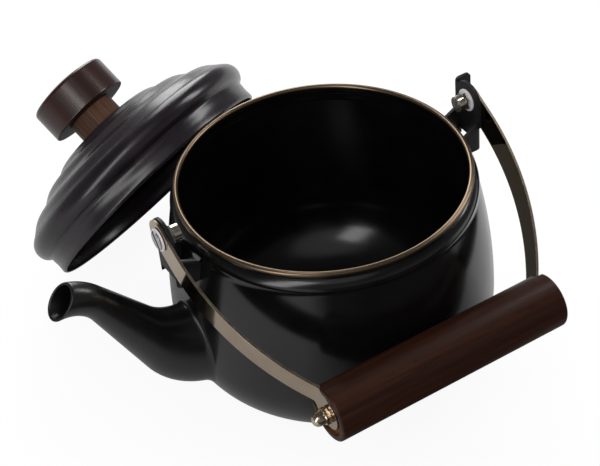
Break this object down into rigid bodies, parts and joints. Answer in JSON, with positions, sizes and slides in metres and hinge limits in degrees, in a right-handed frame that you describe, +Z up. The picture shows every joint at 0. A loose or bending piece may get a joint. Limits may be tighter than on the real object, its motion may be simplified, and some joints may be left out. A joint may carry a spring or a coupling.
{
  "type": "enamel teapot",
  "caption": "Wide-mouthed enamelled steel teapot with an S-curved spout, a folding bail handle with a wooden grip, and a domed lift-off lid with a wooden knob leaning on the rim.",
  "frame": {"origin": "middle of the flat base, on the surface that the pot stands on", "axes": "+Z up, -X towards the spout, the handle's pivot axis along X, the folded handle on the -Y side"},
  "size_m": [0.237, 0.2787, 0.125],
  "materials": {
    "enamel": "glossy black vitreous enamel",
    "rim_brass": "satin bronze-gold rim band",
    "bronzed_brass": "smooth antique brass",
    "nickel": "warm nickel plate",
    "nylon": "natural nylon",
    "cap_brass": "polished pale brass",
    "dark_wood": "dark stained hardwood, satin lacquer",
    "neck_wood": "brown stained hardwood, fine grain"
  },
  "bodies": {
    "pot": {"pot_body": "enamel", "rim_band": "rim_brass", "spout": "enamel", "front_ear": "enamel", "rear_ear": "enamel", "front_pivot_bolt": "nickel", "rear_pivot_bolt": "nickel", "front_outer_washer": "nylon", "rear_outer_washer": "nylon", "front_inner_washer": "nylon", "rear_inner_washer": "nylon", "front_lock_nut": "nickel", "rear_lock_nut": "nickel"},
    "handle": {"front_strap": "bronzed_brass", "rear_strap": "bronzed_brass", "grip": "dark_wood", "grip_rod": "nickel", "front_cap_nut": "cap_brass", "rear_cap_nut": "cap_brass"},
    "lid": {"lid_shell": "enamel", "knob_washer": "nickel", "knob_screw": "nickel", "knob_neck": "neck_wood", "knob_disc": "dark_wood"}
  },
  "joints": [
    {"name": "handle_swing", "type": "hinge", "parent": "pot", "child": "handle", "pos_m": [0, 0, 0.1153], "axis": [-1, 0, 0], "range_deg": [0, 122]},
    {"name": "lid_lift", "type": "slide", "parent": "pot", "child": "lid", "axis": [-0.2899, 0.7553, 0.5878], "range_m": [0, 0.12]}
  ]
}
